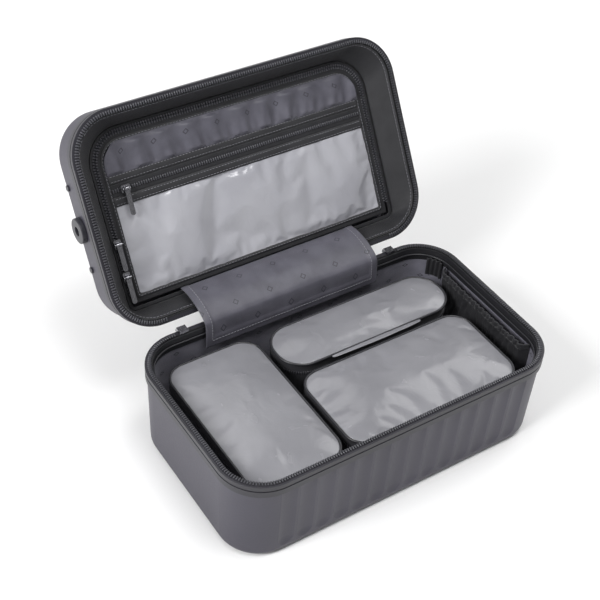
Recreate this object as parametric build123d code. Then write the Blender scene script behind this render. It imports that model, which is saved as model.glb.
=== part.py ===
from build123d import *
import math
import os

# Vanity case, lid open at its stop. X runs along the front, +Y to the hinge side, +Z up.
# The origin is the centre of the base's footprint. Lengths are in millimetres.

# Overall sizes
case_length = 340.0
case_width = 200.0
corner_radius = 42.0
base_height = 98.0
lid_height = 49.0
lid_open_angle = 121.0

# Shells and rim bands
shell_wall = 2.4
base_draft = 2.0
lid_draft = 1.0
edge_radius = 8.0
band_proud = 1.5
band_height = 12.0
band_lip_drop = 2.0
shell_rim_drop = 6.0
band_groove_drop = 7.0
band_groove_depth = 0.6
band_groove_height = 1.4

# Flutes on the front of the base
flute_count = 14
flute_pitch = 19.0
flute_width = 16.0
flute_depth = 1.8
flute_top_drop = 15.0
flute_bottom = 17.0

# Main zipper
tape_thickness = 1.0
tape_height = 12.0
teeth_width = 2.0
teeth_gap = 0.15
teeth_back_end = 124.0

# Linings
fit_gap = 0.15
frame_thickness = 1.5
frame_top_drop = 3.0
frame_height = 13.0
lining_thickness = 1.2
piping_size = 1.6
running_gap = 0.3

# Elastic pocket on the right wall of the base
pocket_reach = 11.0
pocket_front = -66.0
pocket_back = 62.0
pocket_bottom = 12.0
pocket_top = 79.0
pocket_panel = 1.4
elastic_height = 6.0
elastic_proud = 0.8

# Pouches: name, left x, right x, front y, back y
pouches = (
    ("left", -148.0, -54.0, -85.0, 79.0),
    ("back", -46.0, 145.0, 21.0, 76.0),
    ("right", -47.0, 139.0, -85.0, 12.0),
)
pouch_top = 78.0
pouch_radius = {"left": 20.0, "back": 26.0, "right": 20.0}
pouch_window_thickness = 1.6
pouch_window_inset = 2.5
pouch_window_round = 0.7
pouch_piping_size = 2.4
pouch_piping_proud = 0.9
pouch_zipper_drop = 14.0
pouch_zipper_height = 5.0
pouch_zipper_proud = 0.6
pouch_slider_length = 9.0
pouch_slider_thickness = 1.1

# Hinges
hinge_axis_back = 5.0
hinge_offset = 62.0
hinge_width = 34.0
knuckle_radius = 3.0
knuckle_gap = 0.2
pin_radius = 1.25
pin_clearance = 0.05
leaf_thickness = 1.4
leaf_height = 14.0
rivet_radius = 1.2
rivet_head_radius = 2.3
rivet_head_height = 0.8
rivet_spacing = 20.0
rivet_drop = 8.0

# Fabric flap over the hinges
flap_width = 192.0
flap_thickness = 1.0
flap_hem_height = 73.0
flap_wall_gap = 6.2
flap_rim_clearance = 3.0
flap_lid_reach = 22.0

# Zip-round divider in the lid
divider_length = 298.0
divider_width = 168.0
divider_shift = 2.0
divider_front_radius = 34.0
divider_back_radius = 8.0
divider_depth = 25.0
panel_thickness = 1.2
lining_tape_width = 4.0
lining_teeth_width = 1.35
lining_teeth_height = 1.4
chain_gap = 0.6
divider_open_angle = 35.0
binding_width = 3.5
binding_height = 1.6
gathered_width = 26.0
gathered_thickness = 2.6
pocket_tape_width = 13.0
pocket_zip_from_front = 50.0
pocket_teeth_width = 3.0
pocket_teeth_height = 1.2
trim_width = 8.0
trim_thickness = 0.8
window_thickness = 0.6
backing_gap = 3.0

# Zipper sliders and pulls
slider_length = 9.0
slider_width = 7.0
slider_height = 2.2
bail_radius = 0.6
bail_rise = 2.1
bail_ear = 1.2
pull_length = 25.0
pull_width = 4.6
pull_thickness = 1.3
pull_eye_clearance = 0.35
pocket_slider_from_left = 27.0
lining_slider_upper_y = 21.0
lining_slider_lower_y = 52.0
main_slider_x = 116.0
main_plate_height = 8.0
main_plate_over = 1.2
main_plate_thickness = 1.6

# Carry handle on the lid
handle_length = 118.0
handle_width = 20.0
handle_thickness = 6.0
handle_radius = 2.5
handle_leg = 7.0
handle_leg_width = 14.0
mount_length = 24.0
mount_width = 28.0
mount_height = 9.0

# Strap studs and bumpers on the lid's ends
stud_radius = 12.0
stud_height = 5.0
stud_bore = 4.5
stud_bore_depth = 4.0
stud_depth = 33.0
bumper_size = 6.0
bumper_proud = 1.6
bumper_spacing = 77.0
bumper_depth = 38.0

half_length = case_length / 2
half_width = case_width / 2
hinge_y = half_width + hinge_axis_back
hinge_z = base_height
inner_inset = band_proud + shell_wall
lining_inset = inner_inset + fit_gap
cavity_inset = lining_inset + lining_thickness
floor_top = shell_wall + fit_gap + lining_thickness


def save(name, shape):
    """Write one sub-part."""
    os.makedirs("parts", exist_ok=True)
    export_step(shape, f"parts/{name}.step")


def outline(inset, height, draft, z):
    """Case outline at a height, drawn in by its draft towards the closed end."""
    pull_in = inset + draft * (1 - z / height)
    radius = max(corner_radius - pull_in, 1.0)
    return Pos(0, 0, z) * RectangleRounded(case_length - 2 * pull_in, case_width - 2 * pull_in, radius)


def solid_core(inset, height, draft, bottom, top):
    """Solid between two heights that follows the case's draft."""
    return loft([outline(inset, height, draft, bottom), outline(inset, height, draft, top)])


def rounded_core(inset, height, draft, bottom, top, radius):
    """The same with its closed end rounded."""
    core = solid_core(inset, height, draft, bottom, top)
    return fillet(core.edges().group_by(Axis.Z)[0], radius)


def ring(outer, inner, height, draft, bottom, top):
    """Closed band between two insets."""
    margin = 1.0
    hole = solid_core(inner, height, draft, bottom - margin, top + margin)
    return solid_core(outer, height, draft, bottom, top) - hole


def block(x0, x1, y0, y1, z0, z1):
    """Box between two corners."""
    return Pos((x0 + x1) / 2, (y0 + y1) / 2, (z0 + z1) / 2) * Box(x1 - x0, y1 - y0, z1 - z0)


def slab(length, width, radius, bottom, top, x=0.0, y=0.0):
    """Rounded plate."""
    return extrude(Pos(x, y, bottom) * RectangleRounded(length, width, radius), top - bottom)


def flipped(shape):
    """Turn a piece made rim-up into a closed lid's piece, rim down on the base."""
    return Pos(0, 0, 2 * base_height) * mirror(Pos(0, 0, base_height - lid_height) * shape, Plane.XY)


def opened(shape):
    """Swing a closed lid's piece to its open stop."""
    hinge_line = Axis((0, hinge_y, hinge_z), (1, 0, 0))
    return shape.rotate(hinge_line, -lid_open_angle)


def lid_z(depth):
    """Height in the closed lid, measured up from the rim plane."""
    return base_height + depth


def tub_shell(height, draft):
    top = height - shell_rim_drop
    outside = rounded_core(band_proud, height, draft, 0, top, edge_radius)
    inside_radius = edge_radius - shell_wall
    inside = rounded_core(inner_inset, height, draft, shell_wall, top + 1, inside_radius)
    return outside - inside


def rim_band(height, draft):
    bottom = height - band_lip_drop - band_height
    top = height - band_lip_drop
    shell_top = height - shell_rim_drop
    outer = solid_core(0, height, 0, bottom, top)
    lip_hole = solid_core(inner_inset + fit_gap, height, 0, shell_top, top + 1)
    shell_room = solid_core(band_proud, height, draft, bottom - 1, shell_top)
    groove_middle = height - band_groove_drop
    groove_low = groove_middle - band_groove_height / 2
    groove = ring(-1, band_groove_depth, height, 0, groove_low, groove_low + band_groove_height)
    return outer - lip_hole - shell_room - groove


def zipper_tape(height, draft):
    top = height - band_lip_drop
    outer = inner_inset + fit_gap
    return ring(outer, outer + tape_thickness, height, draft, top - tape_height, top)


def zipper_teeth(height):
    """Coil rail, open along the hinge side."""
    middle = inner_inset + fit_gap + tape_thickness / 2
    bottom = height - band_lip_drop
    rail = ring(middle - teeth_width / 2, middle + teeth_width / 2, height, 0, bottom, height - teeth_gap)
    back_gap = block(-teeth_back_end, teeth_back_end, 0, case_width, 0, height + 1)
    return rail - back_gap


def liner_frame(height, draft):
    outer = inner_inset + 2 * fit_gap + tape_thickness
    top = height - frame_top_drop
    return ring(outer, outer + frame_thickness, height, draft, top - frame_height, top)


def base_shell():
    shell = tub_shell(base_height, base_draft)
    sweep_radius = (flute_width ** 2 / 4 + flute_depth ** 2) / (2 * flute_depth)
    lean = math.degrees(math.atan(base_draft / base_height))
    length = base_height - flute_top_drop - flute_bottom
    face_y = -(half_width - band_proud - base_draft * (1 - flute_bottom / base_height))
    first_x = -flute_pitch * (flute_count - 1) / 2
    for number in range(flute_count):
        cutter = Cylinder(sweep_radius, length, align=(Align.CENTER, Align.CENTER, Align.MIN))
        cutter += Sphere(sweep_radius)
        flute_y = face_y + flute_depth - sweep_radius
        place = Location((first_x + number * flute_pitch, flute_y, flute_bottom), (lean, 0, 0))
        shell -= place * cutter
    return shell


def base_lining():
    top = base_height - frame_top_drop - frame_height
    radius = edge_radius - shell_wall - fit_gap
    bottom = shell_wall + fit_gap
    outside = rounded_core(lining_inset, base_height, base_draft, bottom, top, radius)
    inside = rounded_core(cavity_inset, base_height, base_draft, floor_top, top + 1, radius - lining_thickness)
    return outside - inside


def base_piping():
    """Bead along the lining's upper edge, under the liner frame."""
    frame_inner = inner_inset + 2 * fit_gap + tape_thickness + frame_thickness
    z = base_height - frame_top_drop - frame_height / 2
    return ring(frame_inner, frame_inner + piping_size, base_height, base_draft, z, z + piping_size)


def pocket_room(gap):
    return solid_core(cavity_inset + gap, base_height, base_draft, floor_top, pocket_top + elastic_height)


def elastic_pocket():
    x_front = half_length - cavity_inset - pocket_reach
    body = block(x_front, half_length, pocket_front, pocket_back, pocket_bottom, pocket_top)
    body = body & pocket_room(fit_gap)
    back = block(x_front + pocket_panel, half_length, pocket_front + pocket_panel, pocket_back - pocket_panel,
                 pocket_bottom + pocket_panel, pocket_top + 1)
    return body - (back & pocket_room(fit_gap + pocket_panel))


def pocket_elastic_band():
    x_front = half_length - cavity_inset - pocket_reach - elastic_proud
    return block(x_front, x_front + elastic_proud + pocket_panel, pocket_front, pocket_back,
                 pocket_top, pocket_top + elastic_height)


def pouch_outline(name, x0, x1, y0, y1, grow, bottom, top):
    radius = pouch_radius[name] + grow
    length = x1 - x0 + 2 * grow
    width = y1 - y0 + 2 * grow
    return slab(length, width, radius, bottom, top, (x0 + x1) / 2, (y0 + y1) / 2)


def pouch_levels():
    seam = pouch_top - pouch_window_thickness
    zipper_bottom = seam - pouch_zipper_drop
    return seam, zipper_bottom


def pouch_bag(name, x0, x1, y0, y1):
    """Closed bag with a seat for its edge piping and its zipper."""
    seam, zipper_bottom = pouch_levels()
    inset = pouch_piping_size - pouch_piping_proud
    bag = pouch_outline(name, x0, x1, y0, y1, 0, floor_top + running_gap, seam)
    bag -= pouch_ring(name, x0, x1, y0, y1, 1.0, -inset, seam - pouch_piping_size, seam + 1)
    bag -= pouch_ring(name, x0, x1, y0, y1, 1.0, -pouch_zipper_proud, zipper_bottom, zipper_bottom + pouch_zipper_height)
    return bag


def pouch_ring(name, x0, x1, y0, y1, outer, inner, bottom, top):
    hole = pouch_outline(name, x0, x1, y0, y1, inner, bottom - 1, top + 1)
    return pouch_outline(name, x0, x1, y0, y1, outer, bottom, top) - hole


def pouch_piping(name, x0, x1, y0, y1):
    seam, _ = pouch_levels()
    inset = pouch_piping_size - pouch_piping_proud
    return pouch_ring(name, x0, x1, y0, y1, pouch_piping_proud, -inset, seam - pouch_piping_size, seam)


def pouch_window(name, x0, x1, y0, y1):
    seam, _ = pouch_levels()
    sheet = pouch_outline(name, x0, x1, y0, y1, -pouch_window_inset, seam, pouch_top)
    return fillet(sheet.edges().group_by(Axis.Z)[-1], pouch_window_round)


def pouch_zipper(name, x0, x1, y0, y1):
    _, bottom = pouch_levels()
    return pouch_ring(name, x0, x1, y0, y1, 0, -pouch_zipper_proud, bottom, bottom + pouch_zipper_height)


def pouch_slider(name, x0, x1, y0, y1):
    """Slider with a short tab on the pouch's back face, at the left end of its run."""
    _, bottom = pouch_levels()
    middle = bottom + pouch_zipper_height / 2
    x = x0 + pouch_radius[name] + pouch_slider_length / 2
    y = y1 + running_gap
    height = pouch_zipper_height
    body = block(x - pouch_slider_length / 2, x + pouch_slider_length / 2, y, y + pouch_slider_thickness,
                 middle - height / 2, middle + height / 2)
    tab = block(x - 2, x + 2, y, y + pouch_slider_thickness, middle - height / 2 - 16, middle)
    return body + tab


def rivet_places(x):
    return (x - rivet_spacing / 2, x + rivet_spacing / 2)


def hinge_leaf(x, side, knuckles):
    """Leaf and knuckles of one hinge half; side is +1 on the lid and -1 on the base."""
    start = hinge_z + side * knuckle_gap
    end = hinge_z + side * (knuckle_gap + leaf_height)
    leaf = block(x - hinge_width / 2, x + hinge_width / 2, half_width, half_width + leaf_thickness,
                 min(start, end), max(start, end))
    for x0, x1 in knuckles:
        barrel = Location(((x0 + x1) / 2, hinge_y, hinge_z), (0, 90, 0)) * Cylinder(knuckle_radius, x1 - x0)
        web_top = hinge_z + side * knuckle_radius * 0.6
        web = block(x0, x1, half_width + leaf_thickness, hinge_y, min(start, web_top), max(start, web_top))
        leaf += barrel + web
    bore = Location((x, hinge_y, hinge_z), (0, 90, 0)) * Cylinder(pin_radius + pin_clearance, hinge_width + 2)
    leaf -= bore
    for rivet_x in rivet_places(x):
        hole_z = hinge_z + side * rivet_drop
        leaf -= Location((rivet_x, half_width, hole_z), (90, 0, 0)) * Cylinder(rivet_radius, 4 * leaf_thickness)
    return leaf


def knuckle_spans(x):
    third = hinge_width / 3
    low = x - hinge_width / 2
    outer = ((low, low + third - knuckle_gap), (low + 2 * third + knuckle_gap, low + hinge_width))
    middle = ((low + third, low + 2 * third),)
    return outer, middle


def both_hinges(make):
    return Compound(children=[make(-hinge_offset), make(hinge_offset)])


def hinge_pin(x):
    return Location((x, hinge_y, hinge_z), (0, 90, 0)) * Cylinder(pin_radius, hinge_width)


def hinge_rivets(side):
    rivets = []
    for x in (-hinge_offset, hinge_offset):
        for rivet_x in rivet_places(x):
            place = Location((rivet_x, half_width, hinge_z + side * rivet_drop), (-90, 0, 0))
            shank = Cylinder(rivet_radius, leaf_thickness, align=(Align.CENTER, Align.CENTER, Align.MIN))
            head = Cylinder(rivet_head_radius, rivet_head_height, align=(Align.CENTER, Align.CENTER, Align.MIN))
            rivets.append(place * (shank + Pos(0, 0, leaf_thickness) * head))
    return rivets


def open_point(y, depth):
    """Side view place, at the open stop, of a point given in the closed lid."""
    turn = math.radians(lid_open_angle)
    back = y - hinge_y
    return (
        hinge_y + back * math.cos(turn) + depth * math.sin(turn),
        hinge_z - back * math.sin(turn) + depth * math.cos(turn),
    )


def hinge_flap():
    """Fabric flap from its hem in the base, over both rims, to its seam on the lid's divider."""
    wall_y = half_width - cavity_inset - flap_wall_gap
    rim_y, rim_z = open_point(half_width - inner_inset - flap_rim_clearance, -flap_rim_clearance / 2)
    seam_y, seam_z = open_point(half_width - flap_lid_reach, divider_depth - 2)
    spine = [
        (wall_y, flap_hem_height),
        (wall_y + 2, base_height + flap_rim_clearance),
        (rim_y, rim_z + flap_rim_clearance / 2),
        (seam_y, seam_z + 1),
    ]
    under = [(y + flap_thickness, z) for y, z in spine[:1]]
    under += [(y + flap_thickness, z - flap_thickness) for y, z in spine[1:2]]
    under += [(y, z - flap_thickness) for y, z in spine[2:]]
    face = make_face(Polyline(*spine, *reversed(under), close=True))
    upright = Plane(origin=(-flap_width / 2, 0, 0), x_dir=(0, 1, 0), z_dir=(1, 0, 0))
    return extrude(upright * face, flap_width)


def divider_outline(grow, z):
    """Divider outline, well rounded at its front corners and nearly square at its back ones."""
    sheet = Rectangle(divider_length + 2 * grow, divider_width + 2 * grow)
    sheet = fillet(sheet.vertices().group_by(Axis.Y)[0], divider_front_radius + grow)
    sheet = fillet(sheet.vertices().group_by(Axis.Y)[-1], max(divider_back_radius + grow, 1.0))
    return Pos(0, divider_shift, z) * sheet


def divider_slab(grow, bottom, top):
    return extrude(divider_outline(grow, bottom), top - bottom)


def divider_ring(outer, inner, bottom, top):
    return divider_slab(outer, bottom, top) - divider_slab(inner, bottom - 1, top + 1)


def lid_border_panel():
    """Lining panel that slopes from the rim down to the zip-round divider."""
    rim_inset = inner_inset + 2 * fit_gap + tape_thickness
    rim_z = lid_z(frame_top_drop)
    rim_half = (case_length - 2 * rim_inset, case_width - 2 * rim_inset, corner_radius - rim_inset)
    seat_z = lid_z(divider_depth + panel_thickness)

    def funnel(grow, margin):
        mouth = Pos(0, 0, rim_z - margin) * RectangleRounded(rim_half[0] + 2 * grow, rim_half[1] + 2 * grow,
                                                             rim_half[2] + grow)
        return loft([mouth, divider_outline(grow, seat_z + margin)])

    return funnel(0, 0) - funnel(-panel_thickness, 0.01)


def lid_cloth(thickness, bottom, top):
    """Closed shape inside the lid's shell, with the lid's rounded edge."""
    radius = edge_radius - shell_wall - fit_gap - thickness
    return rounded_core(lining_inset + thickness, lid_height, lid_draft, bottom, top, radius)


def lid_lining():
    """Cloth on the lid's walls behind the divider."""
    bottom = shell_wall + fit_gap
    rim = lid_height - divider_depth - 2 * panel_thickness
    walls = lid_cloth(0, bottom, rim) - lid_cloth(lining_thickness, floor_top, rim + 1)
    above_panel = block(-half_length, half_length, -half_width, half_width, floor_top, rim)
    return flipped(walls & above_panel)


def lid_back_lining():
    """Cloth panel across the lid's back."""
    bottom = shell_wall + fit_gap
    panel_layer = block(-half_length, half_length, -half_width, half_width, bottom, floor_top)
    return flipped(lid_cloth(0, bottom, lid_height) & panel_layer)


def lining_zipper_outer():
    """Half of the zip-round chain that stays on the lid."""
    z = lid_z(divider_depth)
    tape = divider_ring(-panel_thickness - fit_gap, -lining_tape_width, z, z + panel_thickness)
    inner = -lining_tape_width - lining_teeth_width
    teeth = divider_ring(-lining_tape_width, inner, z - lining_teeth_height / 2, z + panel_thickness)
    return tape + teeth


def divider_edge():
    """Inset of the divider's outer edge from the border panel's seat."""
    return -lining_tape_width - lining_teeth_width - chain_gap


def lining_zipper_inner():
    z = lid_z(divider_depth)
    outer = divider_edge()
    teeth = divider_ring(outer, outer - lining_teeth_width, z - lining_teeth_height / 2, z + panel_thickness)
    tape = divider_ring(outer - lining_teeth_width, outer - lining_teeth_width - lining_tape_width, z,
                        z + panel_thickness)
    return teeth + tape


def divider_inner_edge():
    return divider_edge() - lining_teeth_width - lining_tape_width


def divider_binding():
    z = lid_z(divider_depth)
    outer = divider_inner_edge()
    return divider_ring(outer, outer - binding_width, z - binding_height + panel_thickness, z + panel_thickness)


def divider_field(y0, y1, z0, z1):
    """Part of the divider inside its binding, between two places along its depth."""
    whole = divider_slab(divider_inner_edge() - binding_width, z0, z1)
    return whole & block(-half_length, half_length, y0, y1, z0 - 1, z1 + 1)


def divider_lines():
    """Places of the strips across the divider, from its front edge to its back."""
    front = divider_shift - divider_width / 2
    gathered_back = pocket_zip_start(front) - trim_width
    zip_back = pocket_zip_start(front) + pocket_tape_width
    return front, gathered_back, pocket_zip_start(front), zip_back, zip_back + trim_width


def pocket_zip_start(front):
    return front + pocket_zip_from_front


def divider_backing():
    z = lid_z(divider_depth) + backing_gap
    return divider_slab(divider_edge(), z, z + panel_thickness) + divider_hem(z)


def divider_hem(z):
    """Edge that joins the backing to the inner zipper tape."""
    outer = divider_edge() - lining_teeth_width
    return divider_ring(outer, outer - 2, lid_z(divider_depth) + panel_thickness, z)


def gathered_panel():
    front, gathered_back, *_ = divider_lines()
    z = lid_z(divider_depth) + panel_thickness
    return divider_field(front, gathered_back, z - gathered_thickness, z)


def pocket_trims():
    _, gathered_back, zip_front, zip_back, window_front = divider_lines()
    z = lid_z(divider_depth) + panel_thickness
    upper = divider_field(gathered_back, zip_front, z - panel_thickness - trim_thickness, z)
    lower = divider_field(zip_back, window_front, z - panel_thickness - trim_thickness, z)
    return Compound(children=[upper, lower])


def pocket_zipper_tape():
    _, _, zip_front, zip_back, _ = divider_lines()
    z = lid_z(divider_depth) + panel_thickness
    return divider_field(zip_front, zip_back, z - panel_thickness, z)


def pocket_zip_middle():
    _, _, zip_front, zip_back, _ = divider_lines()
    return (zip_front + zip_back) / 2


def pocket_zipper_teeth():
    middle = pocket_zip_middle()
    z = lid_z(divider_depth)
    return divider_field(middle - pocket_teeth_width / 2, middle + pocket_teeth_width / 2,
                         z - pocket_teeth_height, z)


def vinyl_window():
    *_, window_front = divider_lines()
    z = lid_z(divider_depth) + panel_thickness
    return divider_field(window_front, half_width, z - window_thickness, z)


def bail_height():
    return slider_height + bail_rise


def zipper_slider(x, y, length, width, seat_z):
    """Slider in the closed lid, face down, with the bar that its pull hangs on."""
    body = block(x - length / 2, x + length / 2, y - width / 2, y + width / 2, seat_z - slider_height, seat_z)
    body = fillet(body.edges().filter_by(Axis.Z), 1.5)
    bar_z = seat_z - bail_height()
    span = pull_width / 2 + pull_eye_clearance
    bar = Location((x, y, bar_z), (0, 90, 0)) * Cylinder(bail_radius, 2 * (span + bail_ear))
    for side in (-1, 1):
        inner = x + side * span
        outer = x + side * (span + bail_ear)
        bar += block(min(inner, outer), max(inner, outer), y - 1, y + 1, bar_z, seat_z - slider_height)
    return body + bar


def pull_tag(x, y, bar_z):
    """Flat pull in the closed lid, hanging towards the hinge side, with an eye round the bar."""
    eye_radius = bail_radius + pull_eye_clearance
    eye = Location((x, y, bar_z), (0, 90, 0)) * Cylinder(eye_radius + pull_thickness * 0.6, pull_width)
    blade = block(x - pull_width / 2, x + pull_width / 2, y + eye_radius, y + pull_length,
                  bar_z - pull_thickness / 2, bar_z + pull_thickness / 2)
    blade = fillet(blade.edges().filter_by(Axis.Z).group_by(Axis.Y)[-1], pull_width * 0.45)
    hole = Location((x, y, bar_z), (0, 90, 0)) * Cylinder(eye_radius, pull_width + 2)
    return eye + blade - hole


def lining_slider_x():
    middle_inset = lining_tape_width + lining_teeth_width + chain_gap / 2
    return -(divider_length / 2 - middle_inset)


def lining_seat():
    return lid_z(divider_depth) - lining_teeth_height / 2 - running_gap


def pocket_seat():
    return lid_z(divider_depth) - pocket_teeth_height - running_gap


def pocket_slider_x():
    return -divider_length / 2 + pocket_slider_from_left


def main_slider(side):
    """Main slider parked past the end of the teeth, between the two rims at the back."""
    x = side * main_slider_x
    outer = half_width + running_gap
    core = block(x - slider_length / 2, x + slider_length / 2, half_width - inner_inset - 1.5, outer,
                 base_height - band_lip_drop + running_gap, base_height + main_plate_over)
    plate = block(x - slider_length / 2, x + slider_length / 2, outer, outer + main_plate_thickness,
                  base_height - main_plate_height, base_height + main_plate_over)
    bar_y = outer + main_plate_thickness + bail_rise
    bar_z = base_height - main_plate_height / 2
    span = pull_width / 2 + pull_eye_clearance
    bar = Location((x, bar_y, bar_z), (0, 90, 0)) * Cylinder(bail_radius, 2 * (span + bail_ear))
    for ear in (-1, 1):
        inner = x + ear * span
        end = x + ear * (span + bail_ear)
        bar += block(min(inner, end), max(inner, end), outer + main_plate_thickness, bar_y, bar_z - 1, bar_z + 1)
    return core + plate + bar


def main_pull(side):
    """Pull that hangs straight down behind the base."""
    bar_y = half_width + running_gap + main_plate_thickness + bail_rise
    bar_z = base_height - main_plate_height / 2
    tag = pull_tag(0, 0, 0)
    return Location((side * main_slider_x, bar_y, bar_z), (-90, 0, 0)) * tag


def mount_centres():
    offset = handle_length / 2 - handle_leg / 2
    return (-offset, offset)


def handle_mounts():
    top = lid_z(lid_height)
    mounts = []
    for x in mount_centres():
        body = block(x - mount_length / 2, x + mount_length / 2, -mount_width / 2, mount_width / 2,
                     top, top + mount_height)
        body = fillet(body.edges().group_by(Axis.Z)[-1], 1.5)
        slot = block(x - handle_leg / 2 - running_gap, x + handle_leg / 2 + running_gap,
                     -handle_leg_width / 2 - running_gap, handle_leg_width / 2 + running_gap,
                     top + 1, top + mount_height + 1)
        mounts.append(body - slot)
    return Compound(children=mounts)


def carry_handle():
    top = lid_z(lid_height)
    grip_z = top + mount_height + running_gap
    grip = block(-handle_length / 2, handle_length / 2, -handle_width / 2, handle_width / 2,
                 grip_z, grip_z + handle_thickness)
    grip = fillet(grip.edges(), handle_radius)
    for x in mount_centres():
        grip += block(x - handle_leg / 2, x + handle_leg / 2, -handle_leg_width / 2, handle_leg_width / 2,
                      top + 1 + running_gap, grip_z + handle_thickness / 2)
    return grip


def lid_end_x(depth):
    return half_length - band_proud - lid_draft * depth / lid_height


def strap_studs():
    studs = []
    z = lid_z(stud_depth)
    for side in (-1, 1):
        x = lid_end_x(stud_depth - stud_radius)
        disc = Location((side * (x + stud_height / 2), 0, z), (0, 90, 0)) * Cylinder(stud_radius, stud_height)
        disc = fillet(disc.edges(), 0.8)
        mouth = x + stud_height
        bore = Location((side * (mouth - stud_bore_depth / 2), 0, z), (0, 90, 0)) * Cylinder(stud_bore, stud_bore_depth)
        studs.append(disc - bore)
    return Compound(children=studs)


def lid_bumpers():
    nubs = []
    for side in (-1, 1):
        for y in (-bumper_spacing / 2, bumper_spacing / 2):
            x = lid_end_x(bumper_depth - bumper_size)
            nub = Cylinder(bumper_size / 2, bumper_proud)
            nub = fillet(nub.edges(), 0.5)
            nubs.append(Location((side * (x + bumper_proud / 2), y, lid_z(bumper_depth)), (0, 90, 0)) * nub)
    return Compound(children=nubs)


def save_base():
    save("base_shell", base_shell())
    save("base_rim_band", rim_band(base_height, base_draft))
    save("base_zipper_tape", zipper_tape(base_height, base_draft))
    save("base_zipper_teeth", zipper_teeth(base_height))
    save("base_liner_frame", liner_frame(base_height, base_draft))
    save("base_piping", base_piping())
    save("base_lining", base_lining())
    save("elastic_pocket", elastic_pocket())
    save("pocket_elastic_band", pocket_elastic_band())
    save("hinge_flap", hinge_flap())


def save_hinges():
    base_half = both_hinges(lambda x: hinge_leaf(x, -1, knuckle_spans(x)[0]))
    lid_half = both_hinges(lambda x: hinge_leaf(x, 1, knuckle_spans(x)[1]))
    save("hinge_base_leaves", base_half)
    save("hinge_lid_leaves", opened(lid_half))
    save("hinge_pins", both_hinges(hinge_pin))
    save("hinge_base_rivets", Compound(children=hinge_rivets(-1)))
    save("hinge_lid_rivets", opened(Compound(children=hinge_rivets(1))))


def save_lid():
    save("lid_shell", opened(flipped(tub_shell(lid_height, lid_draft))))
    save("lid_rim_band", opened(flipped(rim_band(lid_height, lid_draft))))
    save("lid_zipper_tape", opened(flipped(zipper_tape(lid_height, lid_draft))))
    save("lid_zipper_teeth", opened(flipped(zipper_teeth(lid_height))))
    save("lid_border_panel", opened(lid_border_panel()))
    save("lid_lining", opened(lid_lining()))
    save("lid_back_lining", opened(lid_back_lining()))
    save("lining_zipper_outer", opened(lining_zipper_outer()))
    save("strap_studs", opened(strap_studs()))
    save("lid_bumpers", opened(lid_bumpers()))
    save("handle_mounts", opened(handle_mounts()))
    save("carry_handle", opened(carry_handle()))


def save_divider():
    save("divider_backing", opened(divider_backing()))
    save("lining_zipper_inner", opened(lining_zipper_inner()))
    save("divider_binding", opened(divider_binding()))
    save("gathered_panel", opened(gathered_panel()))
    save("pocket_trims", opened(pocket_trims()))
    save("pocket_zipper_tape", opened(pocket_zipper_tape()))
    save("pocket_zipper_teeth", opened(pocket_zipper_teeth()))
    save("vinyl_window", opened(vinyl_window()))


def save_sliders():
    seat = lining_seat()
    for name, y in (("upper", lining_slider_upper_y), ("lower", lining_slider_lower_y)):
        x = lining_slider_x()
        save(f"lining_slider_{name}", opened(zipper_slider(x, y, slider_width, slider_length, seat)))
        save(f"lining_pull_{name}", opened(pull_tag(x, y, seat - bail_height())))
    x = pocket_slider_x()
    y = pocket_zip_middle()
    seat = pocket_seat()
    save("pocket_slider", opened(zipper_slider(x, y, slider_length, slider_width, seat)))
    save("pocket_pull", opened(pull_tag(x, y, seat - bail_height())))
    for name, side in (("left", -1), ("right", 1)):
        save(f"main_slider_{name}", main_slider(side))
        save(f"main_pull_{name}", main_pull(side))


def save_pouches():
    for name, x0, x1, y0, y1 in pouches:
        save(f"pouch_{name}_bag", pouch_bag(name, x0, x1, y0, y1))
        save(f"pouch_{name}_piping", pouch_piping(name, x0, x1, y0, y1))
        save(f"pouch_{name}_window", pouch_window(name, x0, x1, y0, y1))
        save(f"pouch_{name}_zipper", pouch_zipper(name, x0, x1, y0, y1))
        save(f"pouch_{name}_slider", pouch_slider(name, x0, x1, y0, y1))


save_base()
save_hinges()
save_lid()
save_divider()
save_sliders()
save_pouches()
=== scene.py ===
import math
import bpy
from mathutils import Matrix, Vector, noise


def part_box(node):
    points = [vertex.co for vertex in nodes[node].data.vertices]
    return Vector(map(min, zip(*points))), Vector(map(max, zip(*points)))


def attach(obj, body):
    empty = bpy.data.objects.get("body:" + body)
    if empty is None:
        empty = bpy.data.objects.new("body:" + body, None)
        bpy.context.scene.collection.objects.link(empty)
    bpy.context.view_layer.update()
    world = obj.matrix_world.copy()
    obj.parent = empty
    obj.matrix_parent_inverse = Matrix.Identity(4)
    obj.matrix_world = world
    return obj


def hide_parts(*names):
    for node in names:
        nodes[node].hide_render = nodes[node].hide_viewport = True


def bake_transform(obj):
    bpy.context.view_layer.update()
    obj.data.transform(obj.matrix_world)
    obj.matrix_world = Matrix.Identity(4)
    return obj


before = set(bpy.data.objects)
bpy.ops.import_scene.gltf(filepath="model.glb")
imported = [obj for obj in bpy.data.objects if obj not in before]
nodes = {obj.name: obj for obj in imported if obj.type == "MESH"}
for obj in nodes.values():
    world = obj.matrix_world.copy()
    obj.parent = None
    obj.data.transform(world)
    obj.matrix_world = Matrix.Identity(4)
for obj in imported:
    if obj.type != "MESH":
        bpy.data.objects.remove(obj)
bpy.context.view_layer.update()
print("stage: frame loaded")

mm = 0.001

# the case's own sizes in millimetres, as the frame has them
case = {
    "halfLength": 170.0, "halfWidth": 100.0, "cornerRadius": 42.0, "rimHeight": 98.0,
    "baseDraft": 2.0, "hingeBack": 5.0, "openAngle": 121.0,
}
hingeLine = Vector((0, case["halfWidth"] + case["hingeBack"], case["rimHeight"])) * mm
lidTurn = (
    Matrix.Translation(hingeLine)
    @ Matrix.Rotation(-math.radians(case["openAngle"]), 4, "X")
    @ Matrix.Translation(-hingeLine)
)


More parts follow.
